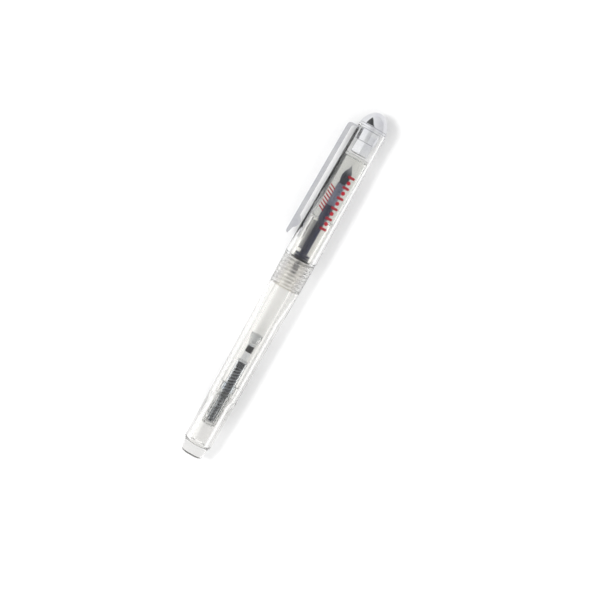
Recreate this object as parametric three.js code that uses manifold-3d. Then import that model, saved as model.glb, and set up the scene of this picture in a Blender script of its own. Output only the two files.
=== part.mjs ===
// Clear-bodied brush pen with a piston converter, capped and lying on its side.
// Millimetres. The origin is the centre of the flat face at the barrel's end, +X runs along the
// pen towards the domed finial, +Z is up and the pocket clip is on the +Y side.
import * as THREE from 'three';
import { mergeVertices } from 'three/addons/utils/BufferGeometryUtils.js';
import Module from 'manifold-3d';

const wasm = await Module();
wasm.setup();

// Facets round a turned piece
const SHELL_SIDES = 32;
const CORE_SIDES = 24;
const FEED_SIDES = 20;
const WICK_SIDES = 12;
const ROUNDING_STEPS = 4;
const BEND_STEPS = 6;
const BUMP_STEPS = 8;
const DOME_STEPS = 9;
const TUFT_STEPS = 8;
const SPINDLE_CORNERS = 12;
const STEPS_PER_LEAD = 8;

// Clearances
const SEAT_GAP = 0.02; // faces that butt together
const PUSH_GAP = 0.1; // round pieces that push or slide into each other
const THREAD_GAP = 0.1; // crest to crest between the two screw threads
const KEY_GAP = 0.06; // flats of the piston carrier in its guide

// End plug
const PLUG_LENGTH = 4.4;
const PLUG_FACE_R = 3.95;
const PLUG_FRONT_R = 4.6;
const PLUG_ROUNDING = 0.6;
const PLUG_SPIGOT = 1.0;
const PLUG_DISH = 0.6;

// Piston converter
const TUBE_R = 3.5;
const TUBE_LENGTH = 54;
const TUBE_MOUTH = 4;
const TUBE_COUNTERBORE = 4.4;
const KNOB_WALL = 0.47;
const KNOB_LENGTH = 11.5;
const KNOB_END_WALL = 1.2;
const KNOB_RIBS = 18;
const KNOB_RIB_DEPTH = 0.2;
const KNOB_NECK = 1.4;
const KNOB_NECK_WALL = 0.62;
const KNOB_FREE_TURN_GAP = 0.5;
const GUIDE_LENGTH = 2.6;
const SPINDLE_R = 1.43;
const SPINDLE_ROOT_R = 1.05;
const SPINDLE_COLLAR = 2.3;
const SPINDLE_LENGTH = 24;
const SPINDLE_LEAD = 2.4;
const CARRIER_WALL = 0.5;
const CARRIER_ROOM = 0.27; // between the piston carrier and the tube's bore
const CARRIER_FLAT = 0.22;
const CARRIER_TAIL_GAP = 1;
const CARRIER_NECK_R = 1.2;
const CARRIER_NECK = 4;
const CARRIER_PIN_R = 0.7;
const WASHER_R = 1.33;
const WASHER_LENGTH = 0.6;
const RIBBED_BUSH_LENGTH = 1.8;
const RIBBED_BUSH_RIBS = 3;
const CUP_LENGTH = 4.6;
const CUP_LIP = 0.6;
const CUP_WALL = 0.4;
const CUP_PIN_DEPTH = 0.8;

// Barrel
const BARREL_WALL = 2.1;
const CONVERTER_ROOM = 0.25;
const KNOB_ROOM_R = 0.4;
const KNOB_ROOM = 7;
const KNOB_ROOM_TAPER = 3.5; // length over which the bore narrows round the knob
const BARREL_EDGE = 0.3;
const BARREL_OVERLAP = 0.6;

// Screw thread between barrel and grip section
const THREAD_LENGTH = 11;
const THREAD_PITCH = 1.27;
const THREAD_DEPTH = 0.35;
const THREAD_RUNOUT = 12; // length over which the bore narrows behind the thread
const SPIGOT_WALL = 0.6;
const RING_LENGTH = 0.8;

// Grip section, feed and brush
const SHOULDER_STEP = 0.3; // height of the shoulder that the ring seats on
const SECTION_REACH = 15.4;
const SECTION_LIP = 0.6;
const SECTION_LIP_R = 2.2;
const SECTION_EDGE = 0.35;
const NIPPLE_R = 1.25;
const NIPPLE_BORE_R = 0.6;
const NIPPLE_REACH = 5;
const NIPPLE_FLANGE = 1.2;
const FEED_R = 2.85;
const FEED_CORE_R = 1.4;
const FEED_NOSE_R = 1.7;
const FEED_NOSE = 5.5;
const FEED_COLLAR = 0.65;
const FEED_COLLAR_GAP = 0.3;
const FEED_TAIL = 3.1;
const FIN_PITCH = 0.62;
const FIN_THICKNESS = 0.3;
const WICK_R = 0.45;
const WICK_CLEARANCE = 0.06;
const WICK_TAIL = 1.66; // how far the wick reaches into the nipple
const FERRULE_R = 1.55;
const FERRULE_LENGTH = 8.4;
const FERRULE_SPIGOT_R = 1;
const FERRULE_SPIGOT = 3;
const TUFT_R = 1.75;
const TUFT_ROOT_R = 1.25;
const TUFT_ROOT = 4;
const TUFT_LENGTH = 8;
const TUFT_BELLY = 0.45; // share of the length before it starts to taper
const TUFT_SWELL = 0.2; // share of the length over which it swells from its root

// Cap
const CAP_MOUTH_WALL = 1.4;
const CAP_TOP_WALL = 0.65;
const CAP_EDGE = 0.25;
const INNER_CAP_WALL = 0.8;
const INNER_CAP_END = 1;
const BRUSH_TIP_ROOM = 1.9;
const NUT_ROOM = 0.6;
const NUT_R = 3.4;
const NUT_LENGTH = 4.85;
const BUSHING_R = 3.6;
const BUSHING_LENGTH = 4.35;
const STUD_R = 1.4;
const FINIAL_SPIGOT = 0.7;
const FLANGE_LENGTH = 1.1;
const DOME_HEIGHT = 5.2;
const DOME_SETBACK = 0.12;
const DOME_LONG_RADIUS = 8;

// Pocket clip
const CLIP_SHEET = 0.6;
const CLIP_DEPTH = 1.6;
const CLIP_WIDTH = 3.8;
const CLIP_TIP_WIDTH = 2.8;
const CLIP_WALL = 0.5;
const CLIP_LENGTH = 44.3;
const CLIP_NOSE = 1.1;
const CLIP_NOSE_DROP = 0.9;
const CLIP_STANDOFF_TOP = 1.75;
const CLIP_STANDOFF_TIP = 1.8;
const CLIP_BEND_R = 1.4;
const CLIP_FOOT_WIDTH = 2.4;
const CLIP_FOOT_SHEET = 0.44;
const CLIP_FOOT_LENGTH = 4.2;
const CLIP_SLOT_PLAY = 0.3;
const CLIP_DROP = 0.4;
const BUMP_LENGTH = 4.9;
const BUMP_FROM_TIP = 2.6;
const BUMP_GAP = 0.4;

// Places along the pen, worked out from the barrel's end forwards
const knobRear = PLUG_LENGTH + PLUG_SPIGOT + KNOB_ROOM;
const knobFront = knobRear + KNOB_LENGTH;
const spindleRear = knobRear + KNOB_END_WALL + SEAT_GAP;
const carrierFloor = spindleRear + SPINDLE_LENGTH + PUSH_GAP;
const neckFront = carrierFloor + CARRIER_NECK;
const cupRear = neckFront + RIBBED_BUSH_LENGTH + WASHER_LENGTH + 3 * SEAT_GAP;
const tubeRear = knobFront + KNOB_FREE_TURN_GAP;
const tubeFront = tubeRear + TUBE_LENGTH;
const barrelFront = tubeFront + BARREL_OVERLAP;
const ringRear = barrelFront + SEAT_GAP;
const ringFront = ringRear + RING_LENGTH;
const shoulder = ringFront + SEAT_GAP;
const spigotRear = barrelFront - THREAD_LENGTH - PUSH_GAP;
const sectionFront = shoulder + SECTION_REACH;
const nippleRear = tubeFront + PUSH_GAP;
const nippleFront = nippleRear + NIPPLE_FLANGE;
const feedRear = nippleFront + SEAT_GAP;
const noseFront = sectionFront + FEED_NOSE;
const ferruleFront = noseFront + SEAT_GAP + FERRULE_LENGTH;
const brushTip = ferruleFront + TUFT_LENGTH;
const innerCapMouth = sectionFront + PUSH_GAP;
const innerCapTop = brushTip + BRUSH_TIP_ROOM + INNER_CAP_END;
const nutRear = innerCapTop + NUT_ROOM;
const bushingRear = nutRear + NUT_LENGTH + SEAT_GAP;
const finialSeat = bushingRear + BUSHING_LENGTH + SEAT_GAP;
const strapFront = finialSeat - CLIP_DROP;
const strapRear = strapFront - CLIP_SHEET;
const capTop = finialSeat + FINIAL_SPIGOT;
const capMouth = ringFront + SEAT_GAP;
const flangeRear = capTop + SEAT_GAP;
const domeBase = flangeRear + FLANGE_LENGTH;

// Radii that follow from the pieces inside
const knobBoreR = SPINDLE_R + 2 * PUSH_GAP + CARRIER_WALL;
const carrierBoreR = SPINDLE_R + PUSH_GAP;
const carrierR = carrierBoreR + CARRIER_WALL;
const tubeBoreR = carrierR + CARRIER_ROOM;
const knobR = knobBoreR + KNOB_WALL;
const knobNeckR = knobBoreR + KNOB_NECK_WALL;
const barrelBoreR = TUBE_R + CONVERTER_ROOM;
const knobRoomR = knobR + KNOB_ROOM_R;
const barrelFrontR = barrelBoreR + BARREL_WALL;
const barrelRearR = knobRoomR + BARREL_WALL;
const sectionRearBoreR = TUBE_R + PUSH_GAP;
const spigotCoreR = sectionRearBoreR + SPIGOT_WALL;
const spigotCrestR = spigotCoreR + THREAD_DEPTH;
const nutThreadR = spigotCrestR + THREAD_GAP;
const sectionR = spigotCoreR + SHOULDER_STEP;
const feedBoreR = FEED_R + PUSH_GAP;
const wickBoreR = WICK_R + WICK_CLEARANCE;
const capBoreR = sectionR + PUSH_GAP;
const capMouthR = capBoreR + CAP_MOUTH_WALL;
const capTopR = capBoreR + CAP_TOP_WALL;
const innerCapR = capBoreR - PUSH_GAP;

const capRadiusAt = (x) => capMouthR + (capTopR - capMouthR) * (x - capMouth) / (capTop - capMouth);

// Turns a profile of [x, radius] points about the X axis. The profile either closes on itself
// or has both ends on the axis.
function turned(profile, sides = CORE_SIDES) {
  const points = profile.map(([x, r]) => new THREE.Vector2(r, x));
  if (THREE.ShapeUtils.area(points) < 0) points.reverse();
  const onAxis = profile[0][1] === 0 && profile.at(-1)[1] === 0;
  if (!onAxis) points.push(points[0].clone());
  const geometry = new THREE.LatheGeometry(points, sides);
  geometry.rotateZ(-Math.PI / 2);
  return geometry;
}

// Sleeve with a straight wall between two stations
const sleeve = (rear, front, boreR, outerR, sides) =>
  turned([[rear, boreR], [rear, outerR], [front, outerR], [front, boreR]], sides);

// Extrudes an outline of [x, y] points evenly about the plane z = 0
function slab(outline, width) {
  const shape = new THREE.Shape(outline.map(([x, y]) => new THREE.Vector2(x, y)));
  const geometry = new THREE.ExtrudeGeometry(shape, { depth: width, bevelEnabled: false });
  geometry.translate(0, 0, -width / 2);
  return geometry;
}

function solid(geometry) {
  const bare = geometry.clone();
  bare.deleteAttribute('normal');
  bare.deleteAttribute('uv');
  const merged = mergeVertices(bare, 1e-5);
  const triVerts = new Uint32Array(merged.index.array);
  const vertProperties = new Float32Array(merged.attributes.position.array);
  return new wasm.Manifold(new wasm.Mesh({ numProp: 3, vertProperties, triVerts }));
}

function geometryOf(body) {
  const mesh = body.getMesh();
  const geometry = new THREE.BufferGeometry();
  geometry.setAttribute('position', new THREE.BufferAttribute(new Float32Array(mesh.vertProperties), 3));
  geometry.setIndex(new THREE.BufferAttribute(new Uint32Array(mesh.triVerts), 1));
  geometry.computeVertexNormals();
  return geometry;
}

const box = (rear, front, low, high, width) =>
  solid(slab([[rear, low], [front, low], [front, high], [rear, high]], width));

function finish(color, roughness, metalness = 0, opacity = 1) {
  const transparent = opacity < 1;
  return new THREE.MeshStandardMaterial({ color, roughness, metalness, opacity, transparent });
}

const CLEAR = () => finish(0xf0f1ee, 0.05, 0, 0.3);
const FROSTED = () => finish(0xcbcac3, 0.6, 0, 0.75);
const CHROME = () => finish(0xd4d5d8, 0.12, 1);
const INK_BLACK = () => finish(0x17181d, 0.45);
const NAVY = () => finish(0x1b2340, 0.4);

const pen = new THREE.Group();

function add(name, geometry, material) {
  const mesh = new THREE.Mesh(geometry, material);
  mesh.name = name;
  pen.add(mesh);
}

// Thread ridges between two stations as [x, radius] points, valley first and last
function ridges(from, to, valleyR, crestR) {
  const count = Math.floor((to - from) / THREAD_PITCH);
  const points = [];
  for (let i = 0; i < count; i += 1) {
    const start = from + i * THREAD_PITCH;
    points.push([start, valleyR], [start + THREAD_PITCH / 2, crestR]);
  }
  points.push([from + count * THREAD_PITCH, valleyR]);
  return points;
}

function barrelTube() {
  const rear = PLUG_LENGTH + SEAT_GAP;
  const bodyTaper = (barrelFrontR - barrelRearR) / (barrelFront - rear);
  const stepFront = tubeRear - 2 * KNOB_FREE_TURN_GAP;
  const threadRear = spigotRear - PUSH_GAP;
  const thread = ridges(threadRear, barrelFront, nutThreadR + THREAD_DEPTH, nutThreadR).reverse();
  return turned([
    [rear, barrelRearR - BARREL_EDGE],
    [rear + BARREL_EDGE, barrelRearR + bodyTaper * BARREL_EDGE],
    [barrelFront - BARREL_EDGE, barrelFrontR - bodyTaper * BARREL_EDGE],
    [barrelFront, barrelFrontR - BARREL_EDGE],
    [barrelFront, nutThreadR + THREAD_DEPTH],
    ...thread,
    [threadRear - THREAD_RUNOUT, barrelBoreR],
    [stepFront, barrelBoreR],
    [stepFront - KNOB_ROOM_TAPER, knobRoomR],
    [rear, knobRoomR],
  ], SHELL_SIDES);
}

function endPlug() {
  const spigotR = knobRoomR - PUSH_GAP / 2;
  const spigotFront = PLUG_LENGTH + PLUG_SPIGOT;
  const points = [[0, 0]];
  for (let i = 0; i <= ROUNDING_STEPS; i += 1) {
    const turn = (i / ROUNDING_STEPS) * Math.PI / 2;
    points.push([
      PLUG_ROUNDING * (1 - Math.cos(turn)),
      PLUG_FACE_R - PLUG_ROUNDING * (1 - Math.sin(turn)),
    ]);
  }
  points.push(
    [PLUG_LENGTH, PLUG_FRONT_R],
    [PLUG_LENGTH, spigotR],
    [spigotFront, spigotR],
    [spigotFront, spigotR - BARREL_EDGE],
    [spigotFront - PLUG_DISH, 0],
  );
  return turned(points, SHELL_SIDES);
}

function gripSection() {
  const thread = ridges(spigotRear + THREAD_GAP, barrelFront - THREAD_GAP, spigotCoreR, spigotCrestR);
  return turned([
    [spigotRear, sectionRearBoreR],
    [spigotRear, spigotCoreR],
    ...thread,
    [shoulder, spigotCoreR],
    [shoulder, sectionR],
    [sectionFront - SECTION_EDGE, sectionR],
    [sectionFront, sectionR - SECTION_EDGE],
    [sectionFront, SECTION_LIP_R],
    [sectionFront - SECTION_LIP, SECTION_LIP_R],
    [sectionFront - SECTION_LIP, feedBoreR],
    [nippleFront, feedBoreR],
    [nippleFront, sectionRearBoreR],
  ], SHELL_SIDES);
}

const trimRing = () =>
  sleeve(ringRear, ringFront, spigotCoreR + PUSH_GAP, (barrelFrontR + capMouthR) / 2, SHELL_SIDES);

function nipple() {
  const flangeR = sectionRearBoreR - PUSH_GAP / 2;
  return turned([
    [nippleRear - NIPPLE_REACH, NIPPLE_BORE_R],
    [nippleRear - NIPPLE_REACH, NIPPLE_R - NIPPLE_BORE_R / 2],
    [nippleRear - NIPPLE_REACH + NIPPLE_BORE_R, NIPPLE_R],
    [nippleRear, NIPPLE_R],
    [nippleRear, flangeR],
    [nippleFront - SEAT_GAP, flangeR],
    [nippleFront - SEAT_GAP, NIPPLE_BORE_R],
  ]);
}

// Capillary feed: a bored core with a nose, two rear collars, and fins on the clip side only
function inkFeed() {
  const secondCollar = feedRear + FEED_COLLAR + FEED_COLLAR_GAP;
  const spigotBoreR = FERRULE_SPIGOT_R + WICK_CLEARANCE;
  const spigotBoreRear = noseFront - FERRULE_SPIGOT - PUSH_GAP;
  const core = solid(turned([
    [feedRear, wickBoreR],
    [feedRear, FEED_R],
    [feedRear + FEED_COLLAR, FEED_R],
    [feedRear + FEED_COLLAR, FEED_CORE_R],
    [secondCollar, FEED_CORE_R],
    [secondCollar, FEED_R],
    [secondCollar + FEED_COLLAR, FEED_R],
    [secondCollar + FEED_COLLAR, FEED_CORE_R],
    [sectionFront - SECTION_LIP, FEED_CORE_R],
    [sectionFront - SECTION_LIP, FEED_NOSE_R],
    [noseFront, FEED_NOSE_R],
    [noseFront, spigotBoreR],
    [spigotBoreRear, spigotBoreR],
    [spigotBoreRear, wickBoreR],
  ], FEED_SIDES));
  return geometryOf(core.add(feedFins()));
}

function feedFins() {
  const rootR = (wickBoreR + FEED_CORE_R) / 2;
  const rear = feedRear + FEED_TAIL;
  const front = sectionFront - SECTION_LIP - FIN_PITCH;
  const count = Math.floor((front - rear) / FIN_PITCH);
  const comb = [[rear, rootR]];
  for (let i = 0; i < count; i += 1) {
    const start = rear + i * FIN_PITCH;
    comb.push([start, FEED_R], [start + FIN_THICKNESS, FEED_R]);
    comb.push([start + FIN_THICKNESS, FEED_CORE_R - WICK_CLEARANCE]);
    comb.push([start + FIN_PITCH, FEED_CORE_R - WICK_CLEARANCE]);
  }
  comb.push([rear + count * FIN_PITCH, rootR]);
  const finned = solid(turned(comb, FEED_SIDES));
  return finned.intersect(box(rear - FIN_PITCH, front + FIN_PITCH, 0, 2 * FEED_R, 4 * FEED_R));
}

function ferrule() {
  const rear = noseFront + SEAT_GAP;
  const tuftBoreR = TUFT_ROOT_R + WICK_CLEARANCE;
  const tuftBoreRear = ferruleFront - TUFT_ROOT - PUSH_GAP;
  return turned([
    [rear - FERRULE_SPIGOT, wickBoreR],
    [rear - FERRULE_SPIGOT, FERRULE_SPIGOT_R],
    [rear, FERRULE_SPIGOT_R],
    [rear, FERRULE_R],
    [ferruleFront - 2 * WICK_CLEARANCE, FERRULE_R],
    [ferruleFront, FERRULE_R - 2 * WICK_CLEARANCE],
    [ferruleFront, tuftBoreR],
    [tuftBoreRear, tuftBoreR],
    [tuftBoreRear, wickBoreR],
  ]);
}

// Bundle of bristles: a root held in the ferrule, a belly and a fine point
function tuft() {
  const root = ferruleFront - TUFT_ROOT;
  const points = [[root, 0], [root, TUFT_ROOT_R], [ferruleFront + PUSH_GAP, TUFT_ROOT_R]];
  for (let i = 0; i < TUFT_STEPS; i += 1) {
    const along = i / TUFT_STEPS;
    const swell = 1 - (1 - TUFT_ROOT_R / TUFT_R) * (1 - Math.min(1, along / TUFT_SWELL)) ** 2;
    const taper = Math.cos(Math.max(0, along - TUFT_BELLY) / (1 - TUFT_BELLY) * Math.PI / 2);
    points.push([ferruleFront + 2 * PUSH_GAP + along * (TUFT_LENGTH - 2 * PUSH_GAP), TUFT_R * swell * taper]);
  }
  points.push([brushTip, 0]);
  return turned(points);
}

function wick() {
  const rear = nippleFront - WICK_TAIL;
  const front = ferruleFront - TUFT_ROOT - PUSH_GAP - SEAT_GAP;
  return turned([[rear, 0], [rear, WICK_R], [front, WICK_R], [front, 0]], WICK_SIDES);
}

function converterTube() {
  const counterboreR = knobNeckR + PUSH_GAP;
  const mouthR = NIPPLE_R + PUSH_GAP;
  return turned([
    [tubeRear, counterboreR],
    [tubeRear, TUBE_R],
    [tubeFront - NIPPLE_BORE_R, TUBE_R],
    [tubeFront, TUBE_R - NIPPLE_BORE_R],
    [tubeFront, mouthR],
    [tubeFront - TUBE_MOUTH, mouthR],
    [tubeFront - TUBE_MOUTH, tubeBoreR],
    [tubeRear + TUBE_COUNTERBORE, tubeBoreR],
    [tubeRear + TUBE_COUNTERBORE, counterboreR],
  ]);
}

// Round bar with two flats, which keeps the piston from turning
function keyedBar(rear, front, radius, flat) {
  const round = solid(turned([[rear, 0], [rear, radius], [front, radius], [front, 0]]));
  const width = 4 * radius;
  return round.intersect(box(rear - 1, front + 1, flat - radius, radius - flat, width));
}

function guideBush() {
  const rear = tubeRear + TUBE_COUNTERBORE - GUIDE_LENGTH;
  const front = tubeRear + TUBE_COUNTERBORE - SEAT_GAP;
  const body = solid(turned([[rear, 0], [rear, knobNeckR], [front, knobNeckR], [front, 0]]));
  const keyway = keyedBar(rear - 1, front + 1, carrierR + KEY_GAP, CARRIER_FLAT);
  return geometryOf(body.subtract(keyway));
}

// Hollow knob with ribs for the fingers and a neck that turns in the tube
function converterKnob() {
  const boreFront = knobRear + KNOB_END_WALL;
  const outline = [];
  for (let i = 0; i < 2 * KNOB_RIBS; i += 1) {
    const turn = i * Math.PI / KNOB_RIBS;
    const r = i % 2 ? knobR : knobR - KNOB_RIB_DEPTH;
    outline.push(new THREE.Vector2(r * Math.cos(turn), r * Math.sin(turn)));
  }
  const bar = { depth: KNOB_LENGTH, bevelEnabled: false };
  const ribbed = new THREE.ExtrudeGeometry(new THREE.Shape(outline), bar);
  ribbed.rotateY(Math.PI / 2);
  ribbed.translate(knobRear, 0, 0);
  const neck = solid(turned([
    [knobFront - KNOB_NECK, 0],
    [knobFront - KNOB_NECK, knobR - KNOB_RIB_DEPTH],
    [tubeRear, knobR - KNOB_RIB_DEPTH],
    [tubeRear, knobNeckR],
    [tubeRear + KNOB_NECK, knobNeckR],
    [tubeRear + KNOB_NECK, 0],
  ]));
  const bore = solid(turned([
    [boreFront, 0],
    [boreFront, knobBoreR],
    [tubeRear + 2 * KNOB_NECK, knobBoreR],
    [tubeRear + 2 * KNOB_NECK, 0],
  ]));
  return geometryOf(solid(ribbed).add(neck).subtract(bore));
}

// Two-start screw with a plain collar at its front, an oval section that turns once per lead
function spindle() {
  const outline = [];
  for (let i = 0; i < SPINDLE_CORNERS; i += 1) {
    const turn = i * 2 * Math.PI / SPINDLE_CORNERS;
    outline.push(new THREE.Vector2(Math.cos(turn), Math.sin(turn)));
  }
  const steps = Math.ceil(SPINDLE_LENGTH / SPINDLE_LEAD * STEPS_PER_LEAD);
  const bar = { depth: SPINDLE_LENGTH, steps, bevelEnabled: false };
  const geometry = new THREE.ExtrudeGeometry(new THREE.Shape(outline), bar);
  const position = geometry.attributes.position;
  for (let i = 0; i < position.count; i += 1) {
    const [across, up, along] = [position.getX(i), position.getY(i), position.getZ(i)];
    const turn = Math.atan2(up, across) - along / SPINDLE_LEAD * 2 * Math.PI;
    const screwR = (SPINDLE_R + SPINDLE_ROOT_R + (SPINDLE_R - SPINDLE_ROOT_R) * Math.cos(2 * turn)) / 2;
    const radius = along > SPINDLE_LENGTH - SPINDLE_COLLAR ? SPINDLE_R : screwR;
    position.setXYZ(i, across * radius, up * radius, along);
  }
  geometry.rotateY(Math.PI / 2);
  geometry.translate(spindleRear, 0, 0);
  return geometry;
}

// Sleeve that rides on the spindle and carries the piston on its front pin
function pistonCarrier() {
  const rear = knobRear + KNOB_END_WALL + CARRIER_TAIL_GAP;
  const pinFront = cupRear + CUP_PIN_DEPTH - PUSH_GAP;
  const body = keyedBar(rear, carrierFloor + CARRIER_WALL, carrierR, CARRIER_FLAT);
  const nose = solid(turned([
    [carrierFloor, 0],
    [carrierFloor, CARRIER_NECK_R],
    [neckFront, CARRIER_NECK_R],
    [neckFront, CARRIER_PIN_R],
    [pinFront, CARRIER_PIN_R],
    [pinFront, 0],
  ]));
  const bore = solid(turned([
    [rear - 1, 0],
    [rear - 1, carrierBoreR],
    [carrierFloor, carrierBoreR],
    [carrierFloor, 0],
  ]));
  return geometryOf(body.add(nose).subtract(bore));
}

function ribbedBush() {
  const rear = neckFront + SEAT_GAP;
  const pitch = RIBBED_BUSH_LENGTH / RIBBED_BUSH_RIBS;
  const boreR = CARRIER_PIN_R + WICK_CLEARANCE;
  const points = [[rear, boreR]];
  for (let i = 0; i < RIBBED_BUSH_RIBS; i += 1) {
    const start = rear + i * pitch;
    points.push([start, CARRIER_NECK_R], [start + pitch / 2, WASHER_R]);
  }
  points.push([rear + RIBBED_BUSH_LENGTH, CARRIER_NECK_R], [rear + RIBBED_BUSH_LENGTH, boreR]);
  return turned(points);
}

function washer() {
  const rear = neckFront + RIBBED_BUSH_LENGTH + 2 * SEAT_GAP;
  return sleeve(rear, rear + WASHER_LENGTH, CARRIER_PIN_R + WICK_CLEARANCE, WASHER_R);
}

// Soft cup whose front lip wipes the tube's bore
function pistonCup() {
  const rear = cupRear;
  const pinR = CARRIER_PIN_R + WICK_CLEARANCE;
  const lipR = tubeBoreR - PUSH_GAP / 2;
  const front = rear + CUP_LENGTH;
  return turned([
    [rear + CUP_PIN_DEPTH, 0],
    [rear + CUP_PIN_DEPTH, pinR],
    [rear, pinR],
    [rear, WASHER_R],
    [front - CUP_LIP, lipR],
    [front, lipR],
    [front, lipR - CUP_WALL],
    [rear + CUP_PIN_DEPTH + 2 * CUP_WALL, WASHER_R - CUP_WALL],
    [rear + CUP_PIN_DEPTH + CUP_WALL, 0],
  ]);
}

function capTube() {
  const shell = solid(turned([
    [capMouth, capBoreR + CAP_EDGE],
    [capMouth, capMouthR - CAP_EDGE],
    [capMouth + CAP_EDGE, capRadiusAt(capMouth + CAP_EDGE)],
    [capTop, capTopR],
    [capTop, capBoreR],
    [capMouth + CAP_EDGE, capBoreR],
  ], SHELL_SIDES));
  const slotWidth = CLIP_FOOT_WIDTH + 2 * CLIP_SLOT_PLAY;
  const [slotRear, slotFront] = [strapRear - CLIP_SLOT_PLAY, strapFront + CLIP_SLOT_PLAY];
  const slot = box(slotRear, slotFront, BUSHING_R, 2 * capMouthR, slotWidth);
  return geometryOf(shell.subtract(slot));
}

const innerCap = () => turned([
  [innerCapTop, 0],
  [innerCapTop, innerCapR - CAP_EDGE],
  [innerCapTop - CAP_EDGE, innerCapR],
  [innerCapMouth, innerCapR],
  [innerCapMouth, innerCapR - INNER_CAP_WALL],
  [innerCapTop - INNER_CAP_END, innerCapR - INNER_CAP_WALL],
  [innerCapTop - INNER_CAP_END, 0],
], SHELL_SIDES);

// Domed finial with its flange, the spigot that fills the cap's top and the stud behind it
function finialDome() {
  const baseR = capTopR - DOME_SETBACK;
  const setIn = DOME_LONG_RADIUS - DOME_HEIGHT;
  const wideR = baseR / Math.sqrt(1 - (setIn / DOME_LONG_RADIUS) ** 2);
  const points = [
    [nutRear + SEAT_GAP, 0],
    [nutRear + SEAT_GAP, STUD_R],
    [finialSeat, STUD_R],
    [finialSeat, capBoreR - PUSH_GAP / 2],
    [flangeRear, capBoreR - PUSH_GAP / 2],
    [flangeRear, capTopR],
    [domeBase - DOME_SETBACK, capTopR],
    [domeBase, baseR],
  ];
  for (let i = 1; i < DOME_STEPS; i += 1) {
    const rise = DOME_HEIGHT * Math.sin(i / DOME_STEPS * Math.PI / 2);
    points.push([domeBase + rise, wideR * Math.sqrt(1 - ((setIn + rise) / DOME_LONG_RADIUS) ** 2)]);
  }
  points.push([domeBase + DOME_HEIGHT, 0]);
  return turned(points, SHELL_SIDES);
}

const finialBushing = () =>
  sleeve(bushingRear, bushingRear + BUSHING_LENGTH, STUD_R + PUSH_GAP / 2, BUSHING_R);

// Hexagonal nut that draws the finial down
function finialNut() {
  const boreR = (STUD_R + PUSH_GAP / 2) / Math.cos(Math.PI / 6);
  const chamfer = NUT_ROOM;
  return turned([
    [nutRear, boreR],
    [nutRear, NUT_R - chamfer],
    [nutRear + chamfer / 2, NUT_R],
    [nutRear + NUT_LENGTH, NUT_R],
    [nutRear + NUT_LENGTH, boreR],
  ], 6);
}

// Pressed clip: a tapering channel with a sprung bump at its tip and a foot through the cap's wall
function clip() {
  const tip = strapFront - CLIP_LENGTH;
  const armTopY = capRadiusAt(strapFront) + CLIP_STANDOFF_TOP;
  const armTipY = capRadiusAt(tip) + CLIP_STANDOFF_TIP;
  const inner = (x) => armTopY + (armTipY - armTopY) * (strapFront - x) / CLIP_LENGTH;
  const outer = (x) => inner(x) + CLIP_DEPTH;
  const strapStart = capTopR + CLIP_SLOT_PLAY;
  const [bendX, bendY] = [strapFront - CLIP_BEND_R, outer(strapFront) - CLIP_BEND_R];
  const bend = arcPoints(bendX, bendY, CLIP_BEND_R, 0, 90, BEND_STEPS);
  const nose = arcPoints(0, 0, 1, 90, 180, ROUNDING_STEPS)
    .map(([x, y]) => [tip + CLIP_NOSE * (1 + x), outer(tip) - CLIP_NOSE_DROP * (1 - y)]);
  const arm = solid(slab([
    [strapRear, strapStart],
    [strapFront, strapStart],
    ...bend,
    ...nose,
    [tip + BUMP_FROM_TIP, inner(tip + BUMP_FROM_TIP)],
    [strapRear - CLIP_SHEET, inner(strapRear)],
    [strapRear, inner(strapRear) - CLIP_SHEET],
  ], CLIP_WIDTH));
  const legY = BUSHING_R + PUSH_GAP;
  const foot = solid(slab([
    [strapFront - CLIP_FOOT_LENGTH, legY],
    [strapFront, legY],
    [strapFront, inner(strapFront)],
    [strapRear, inner(strapFront)],
    [strapRear, legY + CLIP_FOOT_SHEET],
    [strapFront - CLIP_FOOT_LENGTH, legY + CLIP_FOOT_SHEET],
  ], CLIP_FOOT_WIDTH));
  const body = arm.subtract(clipChannel(tip, inner)).add(clipBump(tip, inner)).add(foot);
  return narrowed(geometryOf(body), tip);
}

// Points of an arc about a centre, both ends included
function arcPoints(x, y, radius, fromDegrees, toDegrees, steps) {
  const points = [];
  for (let i = 0; i <= steps; i += 1) {
    const turn = THREE.MathUtils.degToRad(fromDegrees + (toDegrees - fromDegrees) * i / steps);
    points.push([x + radius * Math.cos(turn), y + radius * Math.sin(turn)]);
  }
  return points;
}

function clipChannel(tip, inner) {
  const rear = tip + BUMP_FROM_TIP + CLIP_SHEET;
  const front = strapRear - CLIP_SHEET;
  const roof = CLIP_DEPTH - CLIP_WALL;
  return solid(slab([
    [rear, inner(rear) - 1],
    [front, inner(front) - 1],
    [front, inner(front) + roof],
    [rear, inner(rear) + roof],
  ], CLIP_WIDTH - 2 * CLIP_WALL));
}

// Bump of the tongue that presses on the pocket, an arc from chord to sag
function clipBump(tip, inner) {
  const rear = tip + BUMP_FROM_TIP;
  const middle = rear + BUMP_LENGTH / 2;
  const sag = inner(middle) - capRadiusAt(middle) - BUMP_GAP;
  const half = BUMP_LENGTH / 2;
  const radius = (half * half + sag * sag) / (2 * sag);
  const spread = THREE.MathUtils.radToDeg(Math.asin(half / radius));
  const centreY = inner(middle) - sag + radius;
  return solid(slab([
    ...arcPoints(middle, centreY, radius, 270 - spread, 270 + spread, BUMP_STEPS),
    [rear + BUMP_LENGTH, inner(rear + BUMP_LENGTH) + CLIP_DEPTH - CLIP_WALL / 2],
    [rear, inner(rear) + CLIP_DEPTH - CLIP_WALL / 2],
  ], CLIP_WIDTH - 3 * CLIP_WALL));
}

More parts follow.
